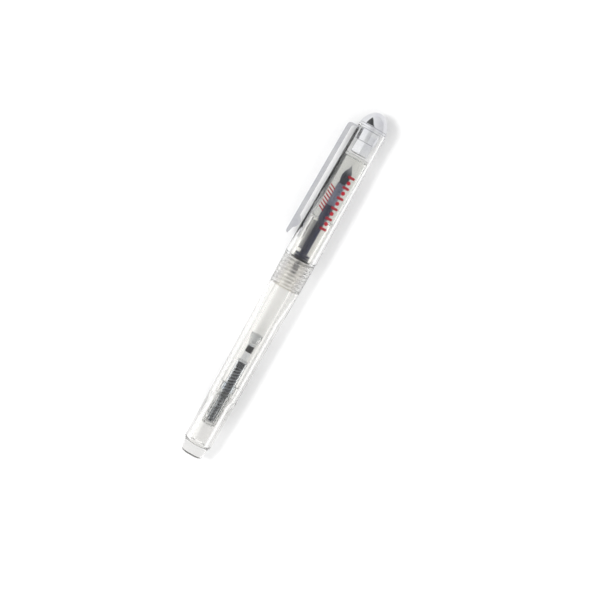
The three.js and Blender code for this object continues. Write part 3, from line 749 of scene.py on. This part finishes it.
def barrel():
    rear, front, front_r = span("barrel_tube")
    thread_rear = span("grip_section")[0] - NUT_GAP
    step_front = span("converter_tube")[0] - KNOB_ROOM_GAP
    profile = [
        (rear, KNOB_ROOM_R), (rear, BARREL_REAR_R), (front, front_r), (front, NUT_ROOT_R),
        *evenly(front - 0.3, thread_rear + 0.3, NUT_ROOT_R, THREAD_STEP),
        (thread_rear, NUT_ROOT_R), (thread_rear - THREAD_RUNOUT, BARREL_BORE_R),
        (step_front, BARREL_BORE_R), (step_front - KNOB_ROOM_TAPER, KNOB_ROOM_R)]
    shell = turned("barrel_shell", profile, HAZY, 0.2, ROUND_SIDES)
    ridged(shell, HAZY, NUT_ROOT_R, thread_rear, front, Coils=1 / (THREAD_PITCH * MM),
           Depth=-THREAD_DEPTH * MM, Run_Out=THREAD_FADE * MM, Sharpness=THREAD_SHARPNESS)
    assign(shell, "barrel", "clear_plastic", "barrel_tube")


def barrel_plug():
    _, front, plug_r = span("barrel_end_plug")
    step = front - PLUG_SPIGOT
    spigot_r = KNOB_ROOM_R - FIT
    profile = [
        (0, 0), (0, PLUG_FACE_R), (step, plug_r), (step, spigot_r), (front, spigot_r),
        (front - PLUG_LIP, KNOB_ROOM_R * PLUG_HOLLOW_SHARE), (front - PLUG_HOLLOW, 0)]
    piece = turned("barrel_plug", profile, HAZY, 0.45, ROUND_SIDES)
    assign(piece, "barrel", "clear_plastic", "barrel_end_plug")


def trim_ring():
    rear, front, ring_r = span("trim_ring")
    profile = [(rear, RING_BORE_R), (rear, ring_r), (front, ring_r), (front, RING_BORE_R)]
    piece = turned("trim_ring_band", profile, CLEAR, 0.18, ROUND_SIDES)
    assign(piece, "ring", "clear_plastic", "trim_ring")


# ---------------------------------------------------------------- grip section, feed and brush

def grip_section():
    rear, front, _ = span("grip_section")
    shoulder = span("trim_ring")[1] + FLANGE_GAP
    nipple_front = span("converter_nipple")[1]
    lip_rear = front - SECTION_MOUTH
    profile = [
        (rear, SECTION_REAR_BORE_R), (rear, SPIGOT_CORE_R),
        *evenly(rear + 0.4, shoulder - 1.2, SPIGOT_CORE_R, THREAD_STEP),
        (shoulder, SPIGOT_CORE_R), (shoulder, SECTION_R), (front, SECTION_R), (front, SECTION_MOUTH_R),
        (lip_rear, SECTION_MOUTH_R), (lip_rear, SECTION_BORE_R), (nipple_front, SECTION_BORE_R),
        (nipple_front, SECTION_REAR_BORE_R)]
    shell = turned("section_shell", profile, NATURAL, 0.12, ROUND_SIDES)
    ridged(shell, NATURAL, SPIGOT_CORE_R, rear, shoulder - SPIGOT_RELIEF, Coils=1 / (THREAD_PITCH * MM),
           Depth=THREAD_DEPTH * MM, Run_Out=THREAD_FADE * MM, Sharpness=THREAD_SHARPNESS)
    assign(shell, "grip_unit", "clear_plastic", "grip_section")


def nipple():
    rear, front, flange_r = span("converter_nipple")
    seat = front - NIPPLE_FLANGE
    profile = [
        (rear, NIPPLE_BORE_R), (rear, NIPPLE_LEAD_R), (rear + NIPPLE_LEAD, NIPPLE_R), (seat, NIPPLE_R),
        (seat, flange_r), (front, flange_r), (front, NIPPLE_BORE_R)]
    piece = turned("nipple", profile, BLACK, 0.08)
    assign(piece, "grip_unit", "black_plastic", "converter_nipple")


def feed_unit():
    rear, front, feed_r = span("ink_feed")
    second = rear + FEED_COLLAR + FEED_COLLAR_GAP
    nose_rear = front - FEED_NOSE - FEED_NOSE_STEP
    socket_rear = front - FERRULE_SOCKET
    collars = []
    for start in (rear, second):
        end = start + FEED_COLLAR
        collars += [(start, FEED_CORE_R), (start, feed_r), (end, feed_r), (end, FEED_CORE_R)]
    profile = [
        (rear, WICK_BORE_R), *collars[1:], (nose_rear, FEED_CORE_R), (nose_rear, FEED_NOSE_R),
        (front, FEED_NOSE_R), (front, FERRULE_SOCKET_R), (socket_rear, FERRULE_SOCKET_R),
        (socket_rear, WICK_BORE_R)]
    core = turned("feed_core", profile, NAVY, 0.06)
    assign(core, "grip_unit", "navy_plastic", "ink_feed")
    fins_rear = rear + FEED_TAIL
    count = int((nose_rear - FIN_PITCH - fins_rear) / FIN_PITCH)
    fins = placed("feed_fins", fin_mesh(fins_rear, feed_r), NAVY)
    grown(fins, ROW, NAVY, Count=count, Pitch=FIN_PITCH * MM)
    assign(fins, "grip_unit", "navy_plastic", "ink_feed")


def fin_mesh(x, outer):
    """One half-round fin with a capillary notch, its flat edges eased."""
    arc = [math.pi * k / FIN_STEPS for k in range(FIN_STEPS + 1)]
    notch_start, notch_end = math.pi / 2 - FIN_NOTCH, math.pi / 2 + FIN_NOTCH
    floor_r = FEED_CORE_R + FIN_NOTCH_FLOOR
    rim = [(outer, a) for a in arc if a < notch_start]
    rim += [(outer, notch_start), (floor_r, notch_start), (floor_r, notch_end), (outer, notch_end)]
    rim += [(outer, a) for a in arc if a > notch_end]
    outline = rim + [(FEED_CORE_R - PIN_FIT, a) for a in reversed(arc)]
    bm = bmesh.new()
    sides = []
    for offset in (0, FIN_THICKNESS):
        corners = [(r * math.sin(a), -r * math.cos(a)) for r, a in outline]
        sides.append([bm.verts.new(((x + offset) * MM, y * MM, z * MM)) for y, z in corners])
    rear_face, front_face = sides
    for i in range(len(outline)):
        after = (i + 1) % len(outline)
        bm.faces.new([rear_face[i], rear_face[after], front_face[after], front_face[i]])
    bm.faces.new(rear_face)
    bm.faces.new(list(reversed(front_face)))
    bmesh.ops.triangulate(bm, faces=[f for f in bm.faces if len(f.verts) > 4])
    bmesh.ops.recalc_face_normals(bm, faces=bm.faces)
    return mesh_from(bm, "fin")


def ferrule():
    rear, front, ferrule_r = span("brush_ferrule")
    seat = rear + FERRULE_TAIL
    cup_floor, cup_r = front - FERRULE_CUP, TUFT_ROOT_R + PIN_FIT
    profile = [
        (rear, WICK_BORE_R), (rear, FERRULE_TAIL_R), (seat, FERRULE_TAIL_R), (seat, ferrule_r),
        (front, ferrule_r), (front, cup_r), (cup_floor, cup_r), (cup_floor, WICK_BORE_R)]
    piece = turned("ferrule", profile, SLATE, 0.1)
    assign(piece, "grip_unit", "slate_plastic", "brush_ferrule")


def tuft():
    rear, front, _ = span("brush_tuft")
    held = span("brush_ferrule")[1] - rear
    mesh = turned_mesh("hair", [(x / MM, r) for x, r in HAIR], HAIR_SIDES)
    piece = placed("tuft_bristles", mesh, BRISTLE)
    grown(piece, TUFT, BRISTLE, Hairs=HAIRS, Root=rear * MM, Length=(front - rear) * MM,
          Held=held * MM, Root_Radius=(TUFT_ROOT_R - TUFT_INSET) * MM,
          Belly_Radius=(TUFT_R - TUFT_INSET) * MM, Seed=HAIR_SEED)
    assign(piece, "grip_unit", "bristle", "brush_tuft")


def wick():
    rear, front, wick_r = span("ink_wick")
    profile = [(rear, 0), (rear, wick_r), (front, wick_r), (front, 0)]
    assign(turned("wick", profile, WICK, 0.1), "grip_unit", "wick_fibre", "ink_wick")


# ---------------------------------------------------------------- converter

def converter_tube():
    rear, front, tube_r = span("converter_tube")
    profile = [
        (rear, TUBE_COUNTERBORE_R), (rear, tube_r), (front - TUBE_CHAMFER, tube_r),
        (front, tube_r - TUBE_CHAMFER),
        (front, TUBE_MOUTH_R), (front - TUBE_MOUTH, TUBE_MOUTH_R), (front - TUBE_MOUTH, TUBE_BORE_R),
        (rear + TUBE_COUNTERBORE, TUBE_BORE_R), (rear + TUBE_COUNTERBORE, TUBE_COUNTERBORE_R)]
    piece = turned("converter_shell", profile, CLEAR, 0.1, ROUND_SIDES)
    assign(piece, "grip_unit", "clear_plastic", "converter_tube")


def guide():
    piece = copied("guide_ring", "guide_bush", PALE, 0.05)
    assign(piece, "grip_unit", "pale_plastic", "guide_bush")


def knob():
    rear, _, _ = span("converter_knob")
    tube_rear = span("converter_tube")[0]
    knob_front = tube_rear - KNOB_GAP
    neck = tube_rear + KNOB_NECK
    root_r = KNOB_R - KNOB_RIB_HEIGHT
    waist_r = KNOB_R - KNOB_ROUND
    profile = [
        (rear, 0), (rear, KNOB_R - 0.5), (rear + KNOB_ROUND, root_r),
        *evenly(rear + 0.6, knob_front - 0.2, root_r, 0.3),
        (knob_front, waist_r), (tube_rear, waist_r), (tube_rear, KNOB_NECK_R), (neck, KNOB_NECK_R),
        (neck, KNOB_BORE_R), (rear + KNOB_FLOOR, KNOB_BORE_R), (rear + KNOB_FLOOR, 0)]
    piece = turned("knob", profile, SMOKY, 0.1, KNOB_RIBS * 8)
    ridged(piece, SMOKY, root_r, rear + 0.2, knob_front, Starts=float(KNOB_RIBS),
           Depth=KNOB_RIB_HEIGHT * MM, Run_Out=KNOB_RIB_FADE * MM, Sharpness=0.7)
    assign(piece, "knob", "smoky_plastic", "converter_knob")


def spindle():
    rear, front, spindle_r = span("spindle")
    plain = front - SPINDLE_COLLAR
    profile = [
        (rear, 0), (rear, SPINDLE_ROOT_R),
        *evenly(rear + 0.3, plain - 0.1, SPINDLE_ROOT_R, THREAD_STEP),
        (plain, SPINDLE_ROOT_R), (plain, spindle_r), (front, spindle_r), (front, 0)]
    piece = turned("spindle_screw", profile, INKY, 0.05)
    ridged(piece, INKY, SPINDLE_ROOT_R, rear, plain, Starts=SPINDLE_STARTS,
           Coils=SPINDLE_STARTS / (SPINDLE_LEAD * MM), Depth=(spindle_r - SPINDLE_ROOT_R) * MM,
           Run_Out=SPINDLE_FADE * MM, Sharpness=0.5)
    assign(piece, "knob", "navy_plastic", "spindle")


def carrier():
    piece = copied("carrier", "piston_carrier", PALE, 0.05, 2)
    assign(piece, "piston", "pale_plastic", "piston_carrier")


def piston_head():
    bush_rear, bush_front, _ = span("ribbed_bush")
    washer_rear, washer_front, washer_r = span("piston_washer")
    cup_rear, cup_front, cup_r = span("piston_cup")
    pin_bore = CARRIER_PIN_R + PIN_FIT
    bush = [(bush_rear, pin_bore)]
    rib_pitch = (bush_front - bush_rear) / BUSH_RIBS
    for k in range(BUSH_RIBS):
        start = bush_rear + k * rib_pitch
        bush += [(start, CARRIER_NECK_R - 0.1), (start + rib_pitch * 0.25, washer_r)]
        bush += [(start + rib_pitch * 0.65, washer_r)]
    bush += [(bush_front, CARRIER_NECK_R - 0.1), (bush_front, pin_bore)]
    assign(turned("bush_ribs", bush, BLACK, 0.05), "piston", "black_plastic", "ribbed_bush")
    washer = [
        (washer_rear, pin_bore), (washer_rear, washer_r),
        (washer_front, washer_r), (washer_front, pin_bore)]
    assign(turned("washer", washer, BLACK, 0.08), "piston", "black_plastic", "piston_washer")
    pin_end = cup_rear + CUP_PIN_DEPTH
    cup = [
        (pin_end, 0), (pin_end, pin_bore), (cup_rear, pin_bore), (cup_rear, washer_r),
        (cup_front - CUP_SKIRT, cup_r - CUP_FLARE), (cup_front - CUP_LIP, cup_r), (cup_front, cup_r),
        (cup_front, cup_r - CUP_WALL), (cup_rear + CUP_SKIRT, washer_r - CUP_WALL),
        (cup_rear + CUP_FLOOR, 0)]
    assign(turned("cup", cup, MILKY, 0.1), "piston", "milky_plastic", "piston_cup")


# ---------------------------------------------------------------- cap

def cap_shell():
    mouth, top, mouth_r = span("cap_tube")
    profile = [(mouth, CAP_BORE_R), (mouth, mouth_r), (top, CAP_TOP_R), (top, CAP_BORE_R)]
    shell = turned("cap_shell", profile, CLEAR, 0.22, ROUND_SIDES)
    strap_front = span("clip")[1]
    strap_rear = strap_front - STRAP_THICKNESS
    low = Vector((strap_rear - SLOT_ROOM, SLOT_LOW_Y, -SLOT_HALF)) * MM
    high = Vector((strap_front + SLOT_ROOM, SLOT_HIGH_Y, SLOT_HALF)) * MM
    cut_slot(shell, low, high)
    assign(shell, "cap", "clear_plastic", "cap_tube")


def cut_slot(piece, low, high):
    """Cuts a rectangular slot between two corners."""
    bm = bmesh.new()
    middle = (low + high) / 2
    size = high - low
    bmesh.ops.create_cube(bm, size=1.0, matrix=Matrix.Translation(middle) @ Matrix.Diagonal((*size, 1.0)))
    cutter = placed("slot_cutter", mesh_from(bm, "slot_cutter"), CLEAR)
    cut = piece.modifiers.new("slot", "BOOLEAN")
    cut.operation = "DIFFERENCE"
    cut.solver = "EXACT"
    cut.object = cutter
    baked(piece)
    bpy.data.objects.remove(cutter)


def inner_cap():
    mouth, top, inner_r = span("inner_cap")
    bore = inner_r - INNER_CAP_WALL
    roof = top - INNER_CAP_ROOF
    profile = [(top, 0), (top, inner_r), (mouth, inner_r), (mouth, bore), (roof, bore), (roof, 0)]
    piece = turned("inner_cap_liner", profile, FROSTED, 0.3, ROUND_SIDES)
    assign(piece, "cap", "frosted_plastic", "inner_cap")


def finial():
    stud, dome_top, _ = span("finial_dome")
    cap_top = span("cap_tube")[1]
    seat = cap_top - FINIAL_SEAT
    flange = cap_top + FLANGE_GAP
    base = dome_top - DOME_HEIGHT
    base_r = CAP_TOP_R - DOME_SETBACK
    spigot_r = CAP_BORE_R - FIT
    groove_rear, groove_r = base - DOME_GROOVE, CAP_TOP_R - DOME_GROOVE_DEPTH
    profile = [
        (stud, 0), (stud, STUD_R), (seat, STUD_R), (seat, spigot_r), (flange, spigot_r),
        (flange, CAP_TOP_R), (groove_rear - DOME_GROOVE_CHAMFER, CAP_TOP_R), (groove_rear, groove_r),
        (base, groove_r), (base, base_r)]
    set_in = DOME_LONG_RADIUS - DOME_HEIGHT
    wide_r = base_r / math.sqrt(1 - (set_in / DOME_LONG_RADIUS) ** 2)
    points = rounded(profile, 0.07)
    for k in range(1, DOME_STEPS):
        rise = DOME_HEIGHT * math.sin(k / DOME_STEPS * math.pi / 2)
        points.append((base + rise, wide_r * math.sqrt(1 - ((set_in + rise) / DOME_LONG_RADIUS) ** 2)))
    points.append((dome_top, 0))
    piece = placed("finial", turned_mesh("finial", points, ROUND_SIDES), CHROME)
    assign(piece, "cap", "chrome", "finial_dome")
    rear, front, bushing_r = span("finial_bushing")
    bushing_bore = STUD_R + FIT
    bushing = [(rear, bushing_bore), (rear, bushing_r), (front, bushing_r), (front, bushing_bore)]
    assign(turned("bushing", bushing, CHROME, 0.12), "cap", "chrome", "finial_bushing")
    assign(copied("nut", "finial_nut", CHROME, 0.12), "cap", "chrome", "finial_nut")


def clip():
    """The pressed clip: broad roundings along its outer edges, small ones elsewhere."""
    bm = merged("clip")
    weight = bm.edges.layers.float.new("bevel_weight_edge")
    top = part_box("clip")[1].y
    for edge in bm.edges:
        if len(edge.link_faces) != 2 or edge.calc_face_angle(0.0) < CAD_SHARP_EDGE:
            continue
        along = abs((edge.verts[0].co - edge.verts[1].co).normalized().x)
        far_out = min(abs(v.co.z) for v in edge.verts) > CLIP_INNER_HALF * MM
        outer = far_out and along > CLIP_LENGTHWAYS
        high = (edge.verts[0].co.y + edge.verts[1].co.y) / 2 > top - CLIP_OUTER_BAND * MM
        edge[weight] = (1.0 if high else CLIP_LOWER_SHARE) if outer else CLIP_SMALL_SHARE
    piece = placed("clip_spring", mesh_from(bm, "clip_spring", CAD_SHARP_EDGE), CHROME)
    bevel = piece.modifiers.new("eased_edges", "BEVEL")
    bevel.limit_method = "WEIGHT"
    bevel.width = CLIP_ROUNDING * MM
    bevel.segments = 6
    bevel.harden_normals = True
    assign(baked(piece), "clip_arm", "chrome", "clip")


def flat_bar(name, length, width, slant, steps=8):
    """A thin printed bar with round ends, centred on the origin, just above z = 0."""
    bm = bmesh.new()
    outline = []
    for side in (1, -1):
        for k in range(steps + 1):
            turn = math.pi * k / steps
            reach = width / 2 - length / 2
            y = side * (reach + length / 2 * math.sin(turn))
            x = side * length / 2 * math.cos(turn)
            outline.append((x + slant * y, y))
    low = [bm.verts.new((x * MM, y * MM, PRINT_LIFT * MM)) for x, y in outline]
    high = [bm.verts.new((x * MM, y * MM, PRINT_TOP * MM)) for x, y in outline]
    for i in range(len(outline)):
        after = (i + 1) % len(outline)
        bm.faces.new([low[i], low[after], high[after], high[i]])
    bm.faces.new(list(reversed(low)))
    bm.faces.new(high)
    bmesh.ops.recalc_face_normals(bm, faces=bm.faces)
    return placed(name, mesh_from(bm, name), RED_INK)


def printed_rows():
    """A generic printed border on the cap: one row of bars and dots, and one of fine slanted strokes."""
    mouth, top, mouth_r = span("cap_tube")
    cone = {"Mouth": mouth, "Top": top, "Mouth_Radius": mouth_r, "Top_Radius": CAP_TOP_R}
    cone = {label: size * MM for label, size in cone.items()}
    for name, length, width, slant, count, pitch, start, offset in PRINT_ROWS:
        piece = flat_bar(name, length, width, slant)
        grown(piece, PRINT, RED_INK, Count=count, Pitch=pitch * MM, Start=start * MM,
              Offset=offset * MM, **cone)
        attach(piece, "cap")


barrel()
barrel_plug()
trim_ring()
grip_section()
nipple()
feed_unit()
ferrule()
tuft()
wick()
converter_tube()
guide()
knob()
spindle()
carrier()
piston_head()
cap_shell()
inner_cap()
finial()
clip()
printed_rows()


# ---------------------------------------------------------------- floor, light and camera

VIEW_ANGLE = math.radians(60.8)
CAMERA_DISTANCE = 0.55
CAMERA_LEAN = 0.048
CAMERA_SIDESTEP = 0.0008
TARGET_RIGHT = 0.0052
TARGET_DOWN = 0.005
FRAME_WIDTH = 0.2102
SENSOR = 36.0
FLOOR_HALF = 3.0
FLOOR_GAP = 0.00002
KEY_LEFT, KEY_UP, KEY_HEIGHT = 0.4, 0.16, 0.78
KEY_WIDTH = 0.2
KEY_POWER = 2.5
LIGHT_BOUNCES = 24
TENT_LIGHT = 1.12
TENT_SLOPE = 0.2
HOLE_LIGHT = 0.85
CARD_LIGHT = 0.06
TENT_EDGE = 0.88
TENT_HOLE = 0.97
CARD_BLUR = (-0.01, 0.02)
CARD_CORNERS = [Vector((0.35, -0.05, 0.94)), Vector((0.1, 0.95, 0.25)), Vector((0.8, 0.59, 0.05))]

view_right = Vector((math.cos(VIEW_ANGLE), -math.sin(VIEW_ANGLE), 0.0))
view_up = Vector((math.sin(VIEW_ANGLE), math.cos(VIEW_ANGLE), 0.0))
pen_low, pen_high = cad_box
pen_middle = Vector(((pen_low[0] + pen_high[0]) / 2, 0.0, 0.0))
floor_height = pen_low[2] - FLOOR_GAP


def studio_floor():
    bm = bmesh.new()
    bmesh.ops.create_grid(bm, x_segments=2, y_segments=2, size=FLOOR_HALF)
    bmesh.ops.translate(bm, verts=bm.verts, vec=(0, 0, floor_height))
    made, graph, shader = material("white_paper", (0.93, 0.93, 0.93), 0.9)
    tooth = noise(graph, (1.0, 1.0, 1.0), 900.0)
    feed(graph, shader, "Base Color", mottled(graph, tooth, (0.925, 0.925, 0.925), (0.935, 0.935, 0.935)))
    floor = placed("floor", mesh_from(bm, "floor"), made)


def aim(thing, place, target, up):
    """Puts a light or camera at a place, looking at a target."""
    ahead = (target - place).normalized()
    right = ahead.cross(up).normalized()
    over = right.cross(ahead)
    turn = Matrix((right, over, -ahead)).transposed()
    thing.matrix_world = Matrix.Translation(place) @ turn.to_4x4()


def soft_light(name, place, width, power):
    data = bpy.data.lights.new(name, "AREA")
    data.shape = "SQUARE"
    data.size = width
    data.energy = power
    light = bpy.data.objects.new(name, data)
    bpy.context.scene.collection.objects.link(light)
    aim(light, place, pen_middle, view_up)
    light.visible_camera = False
    light.visible_glossy = False
    light.visible_transmission = False


def towards(graph, direction):
    """How far a ray from the world faces one way, from -1 to 1."""
    ray = graph.node("ShaderNodeTexCoord").at("Generated")
    turned_to = graph.node("ShaderNodeVectorMath", {"operation": "DOT_PRODUCT"}, {0: ray, 1: direction})
    return turned_to.at("Value")


def studio():
    """A white tent, a little dimmer overhead, with a dark card in it and a soft key light."""
    world = bpy.data.worlds.new("studio")
    world.use_nodes = True
    graph = Graph(world.node_tree)
    height = graph.axes(graph.node("ShaderNodeTexCoord").at("Generated")).at("Z")
    overhead = graph.smooth(height, TENT_EDGE, TENT_HOLE)
    card = 1.0
    for i, corner in enumerate(CARD_CORNERS):
        inward = CARD_CORNERS[i - 1].cross(corner).normalized()
        inward *= math.copysign(1.0, inward.dot(sum(CARD_CORNERS, Vector())))
        card = graph.smooth(towards(graph, inward), *CARD_BLUR) * card
    wall = TENT_LIGHT - TENT_LIGHT * TENT_SLOPE * towards(graph, view_right)
    strength = wall - (TENT_LIGHT - HOLE_LIGHT) * overhead - (TENT_LIGHT - CARD_LIGHT) * card
    background = world.node_tree.nodes["Background"]
    feed(graph, background, "Strength", strength)
    background.inputs["Color"].default_value = (1.0, 1.0, 1.0, 1.0)
    bpy.context.scene.world = world
    place = pen_middle - view_right * KEY_LEFT + view_up * KEY_UP + Vector((0, 0, KEY_HEIGHT))
    soft_light("key_light", place, KEY_WIDTH, KEY_POWER)
    bpy.context.scene.view_settings.view_transform = "Standard"
    cycles = bpy.context.scene.cycles
    cycles.max_bounces = LIGHT_BOUNCES
    cycles.transmission_bounces = LIGHT_BOUNCES
    cycles.transparent_max_bounces = 16


def camera():
    data = bpy.data.cameras.new("camera")
    data.sensor_width = SENSOR
    data.lens = SENSOR * CAMERA_DISTANCE / FRAME_WIDTH
    eye = bpy.data.objects.new("camera", data)
    bpy.context.scene.collection.objects.link(eye)
    target = pen_middle + view_right * TARGET_RIGHT - view_up * TARGET_DOWN
    height = math.sqrt(CAMERA_DISTANCE ** 2 - CAMERA_LEAN ** 2)
    place = pen_middle + view_right * CAMERA_SIDESTEP + Vector((CAMERA_LEAN, 0.0, height))
    aim(eye, place, target, view_up)
    bpy.context.scene.camera = eye


studio_floor()
studio()
camera()
